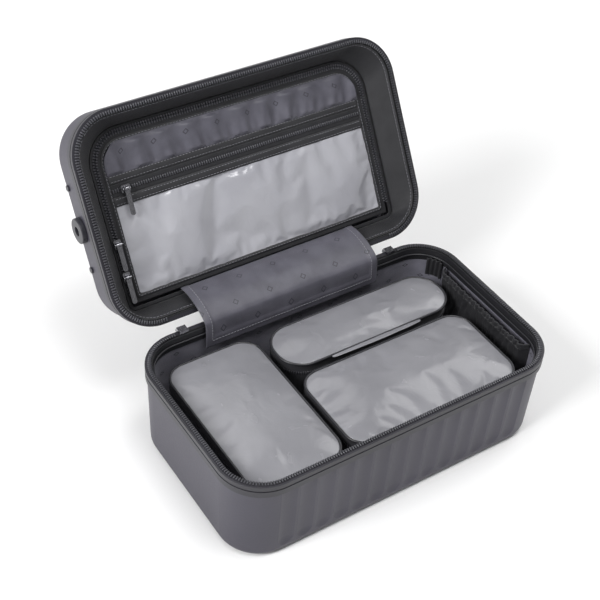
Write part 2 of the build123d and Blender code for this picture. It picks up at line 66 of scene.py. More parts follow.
# colours and nodes
def linear(hexText):
    # sRGB hex text made linear
    channels = [int(hexText[i:i + 2], 16) / 255 for i in (1, 3, 5)]
    return [c / 12.92 if c <= 0.04045 else ((c + 0.055) / 1.055) ** 2.4 for c in channels] + [1.0]


def setNode(tree, node, settings=None, links=None):
    # settings: attribute or socket values; links: socket name to (node, output name)
    for key, value in (settings or {}).items():
        if isinstance(key, int) or key in node.inputs:
            node.inputs[key].default_value = value
        else:
            setattr(node, key, value)
    for key, (source, output) in (links or {}).items():
        tree.links.new(source.outputs[output], node.inputs[key])
    return node


def addNode(tree, kind, settings=None, links=None):
    return setNode(tree, tree.nodes.new(kind), settings, links)


def mathNode(tree, operation, *values):
    # each value is a number or (node, output name)
    made = addNode(tree, "ShaderNodeMath", {"operation": operation})
    for socket, value in zip(made.inputs, values):
        if isinstance(value, tuple):
            tree.links.new(value[0].outputs[value[1]], socket)
        else:
            socket.default_value = value
    return made, "Value"


def noiseNode(tree, place, settings, output="Object"):
    return addNode(tree, "ShaderNodeTexNoise", settings, {"Vector": (place, output)})


def bumpNode(tree, source, strength, distance):
    return addNode(tree, "ShaderNodeBump", {"Strength": strength, "Distance": distance},
        {"Height": source})


def unevenGloss(tree, source, middle, look):
    return addNode(tree, "ShaderNodeMapRange", {"To Min": middle - look["smoother"],
        "To Max": middle + look["rougher"]}, {"Value": source})


def blendColours(tree, source, look, low=0.3, high=0.7):
    ramp = addNode(tree, "ShaderNodeValToRGB", links={"Fac": source})
    for stop, position, shade in zip(ramp.color_ramp.elements, (low, high), look["shades"]):
        stop.position = position
        stop.color = linear(shade)
    return ramp


def startMaterial(name):
    material = bpy.data.materials.new(name)
    material.use_nodes = True
    tree = material.node_tree
    return material, tree, tree.nodes["Principled BSDF"], addNode(tree, "ShaderNodeTexCoord")


def finishMaterial(material, tree, shader, settings, colour, bump=None, rough=None):
    links = {"Base Color": (colour, "Color")}
    if bump:
        links["Normal"] = (bump, "Normal")
    if rough:
        links["Roughness"] = (rough, "Result")
    setNode(tree, shader, settings, links)
    return material


# plastics: a fine matte grain with a soft sheen and faint cloudiness
plastic = {"grainMm": 0.4, "cloudScale": 9.0, "grainHeight": 0.0004, "smoother": 0.05,
    "rougher": 0.07, "ior": 1.52}


def mouldedPlastic(name, look):
    look = {**plastic, **look}
    material, tree, shader, place = startMaterial(name)
    grains = 1000 / look["grainMm"]
    cloudy = noiseNode(tree, place, {"Scale": plastic["cloudScale"], "Detail": 3.0})
    grain = addNode(tree, "ShaderNodeTexVoronoi", {"Scale": grains / 4},
        {"Vector": (place, "Object")})
    fine = noiseNode(tree, place, {"Scale": grains / 2, "Detail": 2.0})
    height = mathNode(tree, "ADD", (grain, "Distance"), (fine, "Fac"))
    bump = bumpNode(tree, height, look["bump"], plastic["grainHeight"])
    colour = blendColours(tree, (cloudy, "Fac"), look)
    rough = unevenGloss(tree, (fine, "Fac"), look["roughness"], plastic)
    return finishMaterial(material, tree, shader, {"IOR": plastic["ior"]}, colour, bump, rough)


# small tone-on-tone diamonds printed in staggered rows
motif = {"columnMm": 37.0, "rowMm": 23.0, "sizeMm": 2.7, "lineMm": 0.65, "colour": "#33323a"}


def printMotif(tree, colour, look):
    place = addNode(tree, "ShaderNodeTexCoord")
    parts = addNode(tree, "ShaderNodeSeparateXYZ", links={"Vector": (place, "UV")})
    across = mathNode(tree, "DIVIDE", (parts, "X"), look["columnMm"])
    along = mathNode(tree, "DIVIDE", (parts, "Y"), look["rowMm"])
    stagger = mathNode(tree, "MULTIPLY", mathNode(tree, "FLOOR", along), 0.5)
    staggered = mathNode(tree, "ADD", across, stagger)
    reach = None
    for value, size in ((staggered, look["columnMm"]), (along, look["rowMm"])):
        centred = mathNode(tree, "SUBTRACT", mathNode(tree, "FRACT", value), 0.5)
        far = mathNode(tree, "MULTIPLY", mathNode(tree, "ABSOLUTE", centred), size)
        reach = mathNode(tree, "ADD", reach, far) if reach else far
    offLine = mathNode(tree, "ABSOLUTE", mathNode(tree, "SUBTRACT", reach, look["sizeMm"]))
    printed = mathNode(tree, "LESS_THAN", offLine, look["lineMm"])
    return addNode(tree, "ShaderNodeMixRGB", {"Color2": linear(look["colour"])},
        {"Fac": printed, "Color1": (colour, "Color")})


# woven cloth: crossing threads under a low sheen, with paler and darker patches; the weave is
# drawn coarser than life so that it shows
weave = {"threadMm": 0.9, "sheen": 0.1, "reliefMm": 0.12, "bandScale": 0.314,
    "distortion": 0.4, "patchScale": 0.06, "threadShare": 0.35,
    "rampLow": 0.45, "rampHigh": 0.95, "bump": 0.6, "sheenRoughness": 0.4}


def wovenCloth(name, look, coordinate="UV", printed=None):
    look = {**weave, **look}
    material, tree, shader, place = startMaterial(name)
    size = 1.0 if coordinate == "UV" else 1000.0
    scale = addNode(tree, "ShaderNodeMapping", {"Scale": (size, size, size)},
        {"Vector": (place, coordinate)})
    threads = [(addNode(tree, "ShaderNodeTexWave",
        {"bands_direction": way, "Scale": weave["bandScale"] / look["threadMm"],
        "Distortion": weave["distortion"]}, {"Vector": (scale, "Vector")}), "Fac")
        for way in ("X", "Y")]
    cross = mathNode(tree, "MAXIMUM", *threads)
    patch = noiseNode(tree, scale, {"Scale": weave["patchScale"], "Detail": 4.0}, "Vector")
    mixed = mathNode(tree, "MULTIPLY_ADD", cross, weave["threadShare"], (patch, "Fac"))
    colour = blendColours(tree, mixed, look, weave["rampLow"], weave["rampHigh"])
    bump = bumpNode(tree, cross, weave["bump"], look["reliefMm"] * mm)
    if printed:
        colour = printMotif(tree, colour, printed)
    settings = {"Roughness": look["roughness"], "Sheen Weight": look["sheen"],
        "Sheen Roughness": weave["sheenRoughness"]}
    return finishMaterial(material, tree, shader, settings, colour, bump)


# frosted PVC film: milky, with a soft gloss that breaks over its creases, and broad soft patches of
# painted reflection in its colour
frost = {"paintedReflectionScale": 14.0, "rippleScale": 60.0, "bump": 0.25, "rippleHeight": 0.002,
    "smoother": 0.07, "rougher": 0.08, "ior": 1.53, "coat": 0.4, "coatRoughness": 0.12}


def frostedFilm(name, look):
    material, tree, shader, place = startMaterial(name)
    # painted reflection: broad soft patches of paler and darker film colour
    paintedReflection = noiseNode(tree, place, {"Scale": frost["paintedReflectionScale"], "Detail": 3.0, "Roughness": 0.45})
    ripple = noiseNode(tree, place,
        {"Scale": frost["rippleScale"], "Detail": 2.0, "Distortion": 0.8})
    colour = blendColours(tree, (paintedReflection, "Fac"), look, 0.32, 0.68)
    bump = bumpNode(tree, (ripple, "Fac"), frost["bump"], frost["rippleHeight"])
    rough = unevenGloss(tree, (ripple, "Fac"), look["roughness"], frost)
    settings = {"IOR": frost["ior"], "Coat Weight": frost["coat"],
        "Coat Roughness": frost["coatRoughness"]}
    return finishMaterial(material, tree, shader, settings, colour, bump, rough)


# plated metal: a plain casting with faint polishing streaks
plating = {"streakScale": (900.0, 120.0, 120.0), "smoother": 0.08, "rougher": 0.1}


def platedMetal(name, look):
    material, tree, shader, place = startMaterial(name)
    streak = addNode(tree, "ShaderNodeMapping", {"Scale": plating["streakScale"]},
        {"Vector": (place, "Object")})
    polish = noiseNode(tree, streak, {"Scale": 3.0, "Detail": 4.0}, "Vector")
    colour = blendColours(tree, (polish, "Fac"), look)
    rough = unevenGloss(tree, (polish, "Fac"), look["roughness"], plating)
    return finishMaterial(material, tree, shader, {"Metallic": 1.0}, colour, rough=rough)


# the shells: plum grey, softly matte
shellAbs = mouldedPlastic("mouldedAbsSheet", {
    "shades": ("#3b3944", "#45434e"), "grainMm": 0.55, "bump": 0.12, "roughness": 0.46})
# rubber: a darker, smoother line round both rims
bandTpr = mouldedPlastic("extrudedTprBand", {
    "shades": ("#25242a", "#2f2e35"), "bump": 0.06, "roughness": 0.4})
# polypropylene: near-black frame, handle and mounts
trimPp = mouldedPlastic("mouldedPpTrim", {
    "shades": ("#202023", "#29292d"), "bump": 0.08, "roughness": 0.42})
# studs: a little lighter than the trim
studAbs = mouldedPlastic("mouldedAbsTrim", {
    "shades": ("#2f2f34", "#3b3b41"), "bump": 0.08, "roughness": 0.4})
# coil teeth: smooth, with small highlights
coilNylon = mouldedPlastic("nylonCoil", {
    "shades": ("#3a3a3f", "#4e4e54"), "grainMm": 0.3, "bump": 0.03, "roughness": 0.35})
# welts: a slightly glossy dark line
weltPvc = mouldedPlastic("pvcWelt", {
    "shades": ("#202024", "#2c2c31"), "bump": 0.05, "roughness": 0.33})
# main zipper tape: dull, the deepest black
tapeCloth = wovenCloth("wovenZipperTape", {
    "shades": ("#101012", "#18181b"), "threadMm": 0.8, "roughness": 0.75,
    "reliefMm": 0.15}, "Object")
# the divider's tapes: a shade lighter, with a visible weave
tapeWeave = wovenCloth("wovenPolyesterTape", {
    "shades": ("#17171a", "#232327"), "threadMm": 0.8, "roughness": 0.75, "reliefMm": 0.15})
# satin: mid grey with a soft shine and the printed diamonds
liningSatin = wovenCloth("polyesterSatinLining", {
    "shades": ("#46454e", "#5b5a64"), "sheen": 0.12, "roughness": 0.4}, printed=motif)
# the same satin in the base, painted lighter: painted light that lifts the shade inside the base
paintedLighterSatin = wovenCloth("paintedLighterSatinLining", {
    "shades": ("#6a6974", "#82818c"), "sheen": 0.15, "roughness": 0.4}, printed=motif)
# plain border cloth: dark, with less shine than the satin
borderCloth = wovenCloth("plainPolyesterBorder", {
    "shades": ("#1f1f22", "#2b2b2e"), "sheen": 0.08, "roughness": 0.55})
# the pouches' sides: dark and slightly coarse
nylonCloth = wovenCloth("wovenNylonSide", {
    "shades": ("#232327", "#333338"), "threadMm": 1.0, "sheen": 0.15, "roughness": 0.6,
    "reliefMm": 0.15})
# ruched elastic: dull black ribs
elasticCloth = wovenCloth("ruchedElastic", {
    "shades": ("#1a1a1d", "#2b2b2f"), "threadMm": 1.1, "roughness": 0.7, "reliefMm": 0.2})
# sewing thread: pale dashes on the dark cloth
stitchThread = wovenCloth("polyesterThread", {
    "shades": ("#6d6d74", "#88888f"), "threadMm": 0.4, "sheen": 0.2, "roughness": 0.6,
    "reliefMm": 0.05})
# the window's film: pale and milky, with patches of painted reflection
windowPvc = frostedFilm("frostedPvcWindow", {
    "shades": ("#9c9ca3", "#aeaeb4"), "roughness": 0.22})
# the pouch tops' film: darker, over a dark bag, with patches of painted reflection
pouchPvc = frostedFilm("frostedPvcPouchTop", {
    "shades": ("#7b7b80", "#89898e"), "roughness": 0.24})
# sliders and pulls: the brightest points
nickel = platedMetal("nickelPlatedZinc", {"shades": ("#77777c", "#b4b4b9"), "roughness": 0.22})
# hinges: dark metal, kept quiet
blackSteel = platedMetal("blackPlatedSteel", {"shades": ("#2a2a2d", "#414145"), "roughness": 0.35})
print("stage: materials made")


# modelling helpers
def deselectAll():
    for item in bpy.context.selected_objects:
        item.select_set(False)


def activate(piece):
    deselectAll()
    piece.select_set(True)
    bpy.context.view_layer.objects.active = piece


def applyModifier(piece, kind, **settings):
    activate(piece)
    modifier = piece.modifiers.new(kind.title(), kind)
    for key, value in settings.items():
        setattr(modifier, key, value)
    bpy.ops.object.modifier_apply(modifier=modifier.name)


def editMesh(piece, *steps):
    # each step is (operator, its settings), run on the whole mesh
    activate(piece)
    bpy.ops.object.mode_set(mode="EDIT")
    bpy.ops.mesh.select_all(action="SELECT")
    for operator, settings in steps:
        operator(**settings)
    bpy.ops.object.mode_set(mode="OBJECT")


def shapedSheet(name, shape, grid, flat, closed=False, thickness=0.0, smoothing=0, cloth=None):
    # a grid moved to shape(u, v), with flat as its UV map's size, both in millimetres
    columns, rows = grid
    deselectAll()
    bpy.ops.mesh.primitive_grid_add(x_subdivisions=columns, y_subdivisions=rows, size=1.0,
        calc_uvs=True)
    sheet = bpy.context.active_object
    sheet.name = name
    for vertex in sheet.data.vertices:
        vertex.co = Vector(shape(vertex.co.x + 0.5, vertex.co.y + 0.5)) * mm
    for corner in sheet.data.uv_layers.active.data:
        corner.uv = (corner.uv[0] * flat[0], corner.uv[1] * flat[1])
    if cloth:
        settleCloth(sheet, sewnEdge(sheet, columns, rows), cloth)
    if closed:
        editMesh(sheet, (bpy.ops.mesh.remove_doubles, {"threshold": 1e-6}),
            (bpy.ops.mesh.normals_make_consistent, {"inside": False}))
    if smoothing:
        applyModifier(sheet, "SUBSURF", levels=smoothing, render_levels=smoothing)
    if thickness:
        applyModifier(sheet, "SOLIDIFY", thickness=thickness * mm, offset=0.0)
    activate(sheet)
    bpy.ops.object.shade_smooth()
    return sheet


def sewnEdge(sheet, columns, rows):
    # the grid's outermost points
    return [i for i in range(len(sheet.data.vertices))
        if i % (columns + 1) in (0, columns) or i // (columns + 1) in (0, rows)]


def settleCloth(sheet, sewn, settings):
    # the cloth is cut a little too large, sewn down at its edge and left to find its own folds
    group = sheet.vertex_groups.new(name="sewn")
    group.add(sewn, 1.0, "REPLACE")
    activate(sheet)
    modifier = sheet.modifiers.new("Cloth", "CLOTH")
    cloth = modifier.settings
    cloth.vertex_group_mass = "sewn"
    cloth.quality = settings["quality"]
    cloth.mass = settings["mass"]
    cloth.tension_stiffness = settings["tension"]
    cloth.compression_stiffness = settings["tension"]
    cloth.bending_stiffness = settings["bending"]
    cloth.shrink_min = -settings["growth"]
    cloth.shrink_max = -settings["growth"]
    cloth.use_pressure = True
    cloth.uniform_pressure_force = settings["pressure"]
    cloth.effector_weights.gravity = 0.0
    modifier.collision_settings.use_collision = False
    modifier.point_cache.frame_end = settings["steps"]
    for step in range(1, settings["steps"] + 1):
        bpy.context.scene.frame_set(step)
    bpy.ops.object.modifier_apply(modifier=modifier.name)
    bpy.context.scene.frame_set(1)
    sheet.vertex_groups.clear()


def layFlat(sheet):
    # cloth that lies level takes its weave straight from its place, not fanned round the middle
    layer = sheet.data.uv_layers.active.data
    for face in sheet.data.polygons:
        if abs(face.normal.z) > 0.9:
            for corner in face.loop_indices:
                point = sheet.data.vertices[sheet.data.loops[corner].vertex_index].co
                layer[corner].uv = (point.x / mm, point.y / mm)
    return sheet


def joinPieces(main, *others):
    deselectAll()
    for piece in (main, *others):
        piece.select_set(True)
    bpy.context.view_layer.objects.active = main
    bpy.ops.object.join()
    return main


def openWithLid(piece):
    piece.data.transform(lidTurn)
    return piece


def paint(piece, material):
    piece.data.materials.clear()
    piece.data.materials.append(material)
    return piece


def finishPiece(piece, material, body, slot, *replaced):
    # joined pieces are painted before they are joined, so their material is None
    if material:
        paint(piece, material)
    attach(piece, body)
    if replaced:
        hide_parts(*replaced)
    return piece


def pathCurve(points, closed=False):
    data = bpy.data.curves.new("path", "CURVE")
    data.dimensions = "3D"
    data.twist_mode = "Z_UP"
    spline = data.splines.new("POLY")
    spline.points.add(len(points) - 1)
    for target, point in zip(spline.points, points):
        target.co = (*(Vector(point) * mm), 1.0)
    spline.use_cyclic_u = closed
    path = bpy.data.objects.new("path", data)
    bpy.context.scene.collection.objects.link(path)
    return path


def beadAlong(name, points, radius, sides=4):
    # round bead along a closed path, made a mesh
    path = pathCurve(points, closed=True)
    path.data.bevel_depth = radius * mm
    path.data.bevel_resolution = sides
    path.name = name
    activate(path)
    bpy.ops.object.convert(target="MESH")
    bead = bpy.context.active_object
    activate(bead)
    bpy.ops.object.shade_smooth()
    return bead


def pathLength(points, closed):
    ends = points[1:] + points[:1] if closed else points[1:]
    return sum((Vector(b) - Vector(a)).length for a, b in zip(points, ends))


def rowAlong(name, points, row, closed=False, rounding=0.3, smoothAngle=40):
    # one rounded block, copied at a pitch and bent along a path: coil teeth and stitches
    deselectAll()
    bpy.ops.mesh.primitive_cube_add(size=1.0)
    tooth = bpy.context.active_object
    tooth.name = name
    tooth.data.transform(Matrix.Diagonal((*(Vector(row["size"]) * mm), 1.0)))
    tooth.data.transform(Matrix.Translation((row["pitch"] * mm / 2, 0, 0)))
    applyModifier(tooth, "BEVEL", width=min(row["size"]) * rounding * mm, segments=1)
    length = pathLength(points, closed)
    count = int(length / row["pitch"])
    applyModifier(tooth, "ARRAY", count=count, use_relative_offset=False, use_constant_offset=True,
        constant_offset_displace=(length / count * mm, 0, 0))
    path = pathCurve(points, closed)
    applyModifier(tooth, "CURVE", object=path)
    bpy.data.objects.remove(path)
    activate(tooth)
    bpy.ops.object.shade_smooth_by_angle(angle=math.radians(smoothAngle))
    return tooth


def stitches(name, points, row, closed=False):
    return paint(rowAlong(name, points, row, closed), stitchThread)


# a place on a rounded rectangle and the outward direction there; t runs once round from the
# middle of the back, towards -X first
def loopAt(loop, t):
    halfX, front, back = loop["halfX"], loop["front"], loop["back"]
    frontRadius, backRadius = loop["frontRadius"], loop["backRadius"]
    backX, backY = halfX - backRadius, back - backRadius
    frontX, frontY = halfX - frontRadius, front + frontRadius
    side = backY - front - frontRadius
    # each run is its kind, start or middle, direction or first angle, and length or radius
    runs = [
        ("line", (0, back), (-1, 0), backX),
        ("arc", (-backX, backY), 90, backRadius),
        ("line", (-halfX, backY), (0, -1), side),
        ("arc", (-frontX, frontY), 180, frontRadius),
        ("line", (-frontX, front), (1, 0), 2 * frontX),
        ("arc", (frontX, frontY), 270, frontRadius),
        ("line", (halfX, frontY), (0, 1), side),
        ("arc", (backX, backY), 0, backRadius),
        ("line", (backX, back), (-1, 0), backX),
    ]
    lengths = [run[3] * math.pi / 2 if run[0] == "arc" else run[3] for run in runs]
    left = (t % 1.0) * sum(lengths)
    for run, length in zip(runs, lengths):
        if left <= length or run is runs[-1]:
            break
        left -= length
    x, y = run[1]
    if run[0] == "line":
        dx, dy = run[2]
        return x + dx * left, y + dy * left, dy, -dx
    angle = math.radians(run[2]) + left / max(run[3], 1e-6)
    nx, ny = math.cos(angle), math.sin(angle)
    return x + run[3] * nx, y + run[3] * ny, nx, ny


def roundedLoop(halfX, halfY, radius):
    return {"halfX": halfX, "front": -halfY, "back": halfY, "frontRadius": radius,
        "backRadius": radius}


def caseLoop(inset, pullIn=0.0):
    sizes = (case["halfLength"], case["halfWidth"], case["cornerRadius"])
    return roundedLoop(*(size - inset - pullIn for size in sizes))


def loopLength(loop):
    points = [loopAt(loop, i / 200)[:2] for i in range(200)]
    return sum(math.dist(a, b) for a, b in zip(points, points[1:] + points[:1]))


def growLoop(loop, grow):
    return {
        "halfX": loop["halfX"] + grow,
        "front": loop["front"] - grow,
        "back": loop["back"] + grow,
        "frontRadius": max(loop["frontRadius"] + grow, 1.0),
        "backRadius": max(loop["backRadius"] + grow, 1.0),
    }


def loopPath(loop, z, start=0.0, end=1.0, steps=240):
    count = steps if end - start >= 1.0 else steps + 1
    return [(*loopAt(loop, start + (end - start) * i / steps)[:2], z) for i in range(count)]


def smoothStep(value, low, high):
    t = min(max((value - low) / (high - low), 0.0), 1.0)
    return t * t * (3 - 2 * t)


def between(look, start, end, share):
    return look[start] + (look[end] - look[start]) * share


def wave(x, y, setting):
    # setting: the wave's height and span in millimetres, and the noise's seed
    height, span, seed = setting
    return height * noise.noise(Vector((x / span, y / span, seed)))


def crease(x, y, look, seed, sharpness=2.4):
    # sharp soft-sided folds, long one way and narrow the other
    c, s = math.cos(math.radians(look["turn"])), math.sin(math.radians(look["turn"]))
    a, b = (x * c + y * s) / look["long"], (-x * s + y * c) / look["narrow"]
    ridge = 1 - (noise.noise(Vector((a, b, seed))) * sharpness) ** 2
    return max(ridge, 0.0) ** 2


# main zipper: coil teeth on both rims, open along the hinges
mainZipper = {"inset": 4.0, "fromRim": 1.05, "backEnd": 124.0, "pitch": 2.4,
    "size": (1.4, 3.6, 1.7)}


def mainCoil(name, z):
    loop = caseLoop(mainZipper["inset"])
    skip = mainZipper["backEnd"] / loopLength(loop)
    return rowAlong(name, loopPath(loop, z, skip, 1 - skip), mainZipper)


baseCoil = mainCoil("baseZipperCoil", case["rimHeight"] - mainZipper["fromRim"])
finishPiece(baseCoil, coilNylon, "base", "zipper_coil", "base_zipper_teeth")
lidCoil = openWithLid(mainCoil("lidZipperCoil", case["rimHeight"] + mainZipper["fromRim"]))
finishPiece(lidCoil, coilNylon, "lid", "zipper_coil", "lid_zipper_teeth")
print("stage: main zipper made")


# base lining: cloth walls and floor with slack that shows as soft waves
baseLiner = {
    "topZ": 82.0, "floorZ": 3.75, "inset": 5.2, "wallShare": 0.7, "around": 1000,
    "broad": (0.9, 26, 3.1), "small": (0.5, 9, 8.2), "floorWave": (0.4, 30, 1.0),
    "slack": 1.4, "outLimit": -0.1,
}


def baseLiningShape(u, v):
    # the wall from its top down, then the floor in to its middle
    share = baseLiner["wallShare"]
    wall = min(v / share, 1.0)
    z = between(baseLiner, "topZ", "floorZ", wall)
    pull = case["baseDraft"] * (1 - z / case["rimHeight"])
    x, y, nx, ny = loopAt(caseLoop(baseLiner["inset"], pull), u)
    around = u * baseLiner["around"]
    waves = wave(around, z, baseLiner["broad"]) + wave(around, z, baseLiner["small"])
    fade = smoothStep(wall, 0, 0.12) * (1 - smoothStep(wall, 0.85, 1.0))
    waves = max(waves, baseLiner["outLimit"])
    x -= nx * waves * baseLiner["slack"] * fade
    y -= ny * waves * baseLiner["slack"] * fade
    if v > share:
        inward = (v - share) / (1 - share)
        x *= 1 - inward
        y *= 1 - inward
        z += wave(x, y, baseLiner["floorWave"]) * min(inward * 4, 1.0)
    return x, y, z


baseLining = shapedSheet("baseLiningCloth", baseLiningShape, grid=(220, 40), flat=(1010, 180),
    closed=True, thickness=0.8)
layFlat(baseLining)
# painted light: the base lining takes the lighter painted copy of the satin
finishPiece(baseLining, paintedLighterSatin, "base", "lining", "base_lining")

# bead round the base's mouth, under the liner frame
piping = {"inset": 7.6, "pullIn": 0.25, "z": 88.6, "radius": 0.85}
pipingPath = loopPath(caseLoop(piping["inset"], piping["pullIn"]), piping["z"])
basePiping = beadAlong("basePipingBead", pipingPath, piping["radius"])
finishPiece(basePiping, weltPvc, "base", "piping", "base_piping")
print("stage: base lining made")


# elastic pocket on the right wall: cloth front gathered under a ruched elastic
pocket = {
    "x": 154.4, "wallX": 163.4, "wallGap": 1.5, "front": -66.0, "back": 62.0, "bottom": 12.0,
    "top": 79.0, "bandTop": 85.0, "fold": 0.8, "foldRate": 0.8, "drift": (3.2, 17, 2.0),
    "small": (0.9, 7, 6.0), "belly": 1.2,
}
ruching = {
    "proud": 0.5, "fold": 0.7, "foldRate": 1.1, "drift": (3.0, 13, 5.0),
    "small": (0.8, 4, 1.5), "topWave": (0.9, 6, 3.5),
}


def pocketPlace(u, v, bottom, top, turn):
    # y and z on the pocket's front, its turn back to the wall there, and how near its end is
    y = between(pocket, "front", "back", u)
    edge = min(u, 1 - u)
    toWall = (1 - smoothStep(edge, 0.0, turn)) * (pocket["wallX"] - pocket["x"] - pocket["wallGap"])
    return y, between(pocket, bottom, top, v), toWall, edge


def pocketShape(u, v):
    y, z, toWall, edge = pocketPlace(u, v, "bottom", "top", 0.05)
    fold = pocket["fold"] * math.sin(y * pocket["foldRate"] + wave(y, z, pocket["drift"]))
    gather = (fold + wave(y, z, pocket["small"])) * smoothStep(v, 0.2, 1.0)
    belly = -pocket["belly"] * math.sin(math.pi * v) * smoothStep(edge, 0.0, 0.2)
    return pocket["x"] + toWall + gather * smoothStep(edge, 0, 0.08) * 0.8 + belly, y, z


pocketPanel = shapedSheet("elasticPocketPanel", pocketShape, grid=(200, 40), flat=(135, 68),
    thickness=0.8)
finishPiece(pocketPanel, borderCloth, "base", "border", "elastic_pocket")


def pocketBandShape(u, v):
    y, z, toWall, edge = pocketPlace(u, v, "top", "bandTop", 0.04)
    drift = wave(y, 0, ruching["drift"])
    fold = ruching["fold"] * math.sin(y * ruching["foldRate"] + drift)
    ruche = (fold + wave(y, z, ruching["small"])) * smoothStep(edge, 0, 0.05)
    x = pocket["x"] - ruching["proud"] + toWall + ruche
    return x, y, z + wave(y, 0, ruching["topWave"]) * v


pocketBand = shapedSheet("pocketElasticBand", pocketBandShape, grid=(320, 8), flat=(150, 6),
    thickness=1.2)
finishPiece(pocketBand, elasticCloth, "base", "elastic", "pocket_elastic_band")

# pleated tab of border cloth in the back right corner of the base
cornerTab = {
    "start": 28.0, "end": 45.0, "bottom": 66.0, "top": 87.0, "inset": 7.6, "proud": 1.4,
    "pleats": 3.5, "depth": 1.3, "bottomBow": 1.2,
}


def cornerTabShape(u, v):
    loop = caseLoop(cornerTab["inset"], 0.3)
    straight = loop["halfX"] - loop["backRadius"]
    run = straight + between(cornerTab, "start", "end", u)
    x, y, nx, ny = loopAt(loop, 1 - run / loopLength(loop))
    fold = cornerTab["depth"] * math.sin(u * cornerTab["pleats"] * 2 * math.pi) * (0.35 + 0.65 * v)
    z = between(cornerTab, "bottom", "top", v)
    z += cornerTab["bottomBow"] * math.sin(math.pi * u) * (1 - v)
    inward = cornerTab["proud"] + fold
    return x - nx * inward, y - ny * inward, z


tab = shapedSheet("cornerPleatedTab", cornerTabShape, grid=(60, 16), flat=(26, 21), thickness=0.7)
finishPiece(tab, borderCloth, "base", "border")
print("stage: elastic pocket made")


# hinge flap: lining cloth with a stitched hem, from the base over both rims to the lid; its spine
# is its side view, as y and z
flap = {
    "halfWidth": 96.0, "thickness": 1.1,
    "spine": [(89.2, 73.0), (89.9, 86.0), (91.0, 97.5), (93.8, 102.0), (101.0, 106.0),
    (110.0, 109.2), (121.0, 110.4), (129.8, 110.0), (137.0, 108.6)],
    "broad": (0.5, 40, 4.0), "small": (0.25, 16, 9.0), "hem": 0.55, "sideHem": (8.5, 7.5),
    "bottomHem": (0.1, 0.12), "stitchInset": 6.6, "stitchLift": 0.1, "bottomStitch": 0.07,
}
flapStitch = {"pitch": 3.2, "size": (2.2, 0.6, 0.4)}


def alongSpine(v):
    # smooth line through the flap's side view
    spine = flap["spine"]
    place = v * (len(spine) - 1)
    i = min(int(place), len(spine) - 2)
    t = place - i
    p = [Vector(spine[min(max(i + k, 0), len(spine) - 1)]) for k in (-1, 0, 1, 2)]
    return 0.5 * ((2 * p[1]) + (p[2] - p[0]) * t + (2 * p[0] - 5 * p[1] + 4 * p[2] - p[3]) * t * t
        + (3 * p[1] - p[0] - 3 * p[2] + p[3]) * t * t * t)


def flapPoint(x, v, lift):
    spot = alongSpine(v)
    run = (alongSpine(min(v + 0.01, 1.0)) - alongSpine(max(v - 0.01, 0.0))).normalized()
    out = Vector((-run.y, run.x))
    waves = wave(x, v * 60, flap["broad"]) + wave(x, v * 60, flap["small"])
    waves = waves * smoothStep(v, 0.0, 0.1) * (1 - smoothStep(v, 0.92, 1.0))
    hemStart, hemEnd = (flap["halfWidth"] - inset for inset in flap["sideHem"])
    atSide = smoothStep(abs(x), hemStart, hemEnd)
    hem = flap["hem"] * max(atSide, 1 - smoothStep(v, *flap["bottomHem"]))
    spot = spot + out * (waves + hem + lift)
    return x, spot.x, spot.y


def flapShape(u, v):
    return flapPoint(-flap["halfWidth"] + 2 * flap["halfWidth"] * u, v, 0.0)


flapCloth = shapedSheet("hingeFlapCloth", flapShape, grid=(192, 80), flat=(192, 72),
    thickness=flap["thickness"])
flapCloth = paint(flapCloth, liningSatin)
sideX = flap["halfWidth"] - flap["stitchInset"]
stitchLift = flap["thickness"] / 2 + flap["stitchLift"]
hemLine = ([flapPoint(-sideX, v / 50, stitchLift) for v in range(47, 3, -1)]
    + [flapPoint(-sideX + 2 * sideX * i / 50, flap["bottomStitch"], stitchLift) for i in range(51)]
    + [flapPoint(sideX, v / 50, stitchLift) for v in range(4, 48)])
flapCloth = joinPieces(flapCloth, stitches("flapStitches", hemLine, flapStitch))
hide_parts("hinge_flap")
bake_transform(flapCloth)
print("stage: hinge flap made")


# the lid's inside, modelled with the lid closed: the zip-round divider, with its strips' places
# along y
divider = {
    "depth": 25.0,
    "outline": {"halfX": 149.0, "front": -82.0, "back": 86.0, "frontRadius": 34.0,
    "backRadius": 8.0},
    "fieldInset": 13.4, "gatheredBack": -40.0, "zipFront": -32.0, "zipBack": -19.0,
    "windowFront": -11.0,
}
dividerZ = case["rimHeight"] + divider["depth"]

# sloping border from the lid's mouth to the divider, puffed, with pleats at its corners
border = {
    "inset": 6.0, "mouthZ": case["rimHeight"] + 3.0, "seatRise": 0.6, "pleat": 1.3,
    "pleatRate": 0.62, "puff": 1.2, "puffWave": (0.5, 24, 6.0), "seamInset": 1.8, "seamRise": 1.6,
}
borderStitch = {"pitch": 3.4, "size": (2.2, 0.45, 0.4)}


def borderShape(u, v):
    x0, y0, nx, ny = loopAt(caseLoop(border["inset"]), u)
    x1, y1, _, _ = loopAt(divider["outline"], u)
    x = x0 + (x1 - x0) * v
    y = y0 + (y1 - y0) * v
    z = border["mouthZ"] + (dividerZ + border["seatRise"] - border["mouthZ"]) * v
    corner = max(0.0, min(abs(nx), abs(ny)) * 1.6)
    pleat = border["pleat"] * math.sin(u * 1000 * border["pleatRate"]) * corner
    pleat = pleat * (1 - smoothStep(v, 0.1, 0.7))
    bow = math.sin(math.pi * v)
    puff = -border["puff"] * bow + wave(u * 900, v * 30, border["puffWave"]) * bow
    return x - nx * (pleat * 0.5), y - ny * (pleat * 0.5), z + pleat * 0.6 * bow - puff * 0.4


borderPanel = shapedSheet("lidBorderPanel", borderShape, grid=(300, 14), flat=(980, 30),
    closed=True, thickness=0.9)
borderPanel = paint(borderPanel, borderCloth)
mouthSeam = loopPath(caseLoop(border["inset"] + border["seamInset"]),
    border["mouthZ"] + border["seamRise"])
borderStitches = stitches("borderStitches", mouthSeam, borderStitch, closed=True)
borderPanel = openWithLid(joinPieces(borderPanel, borderStitches))
finishPiece(borderPanel, None, "lid", "border", "lid_border_panel")

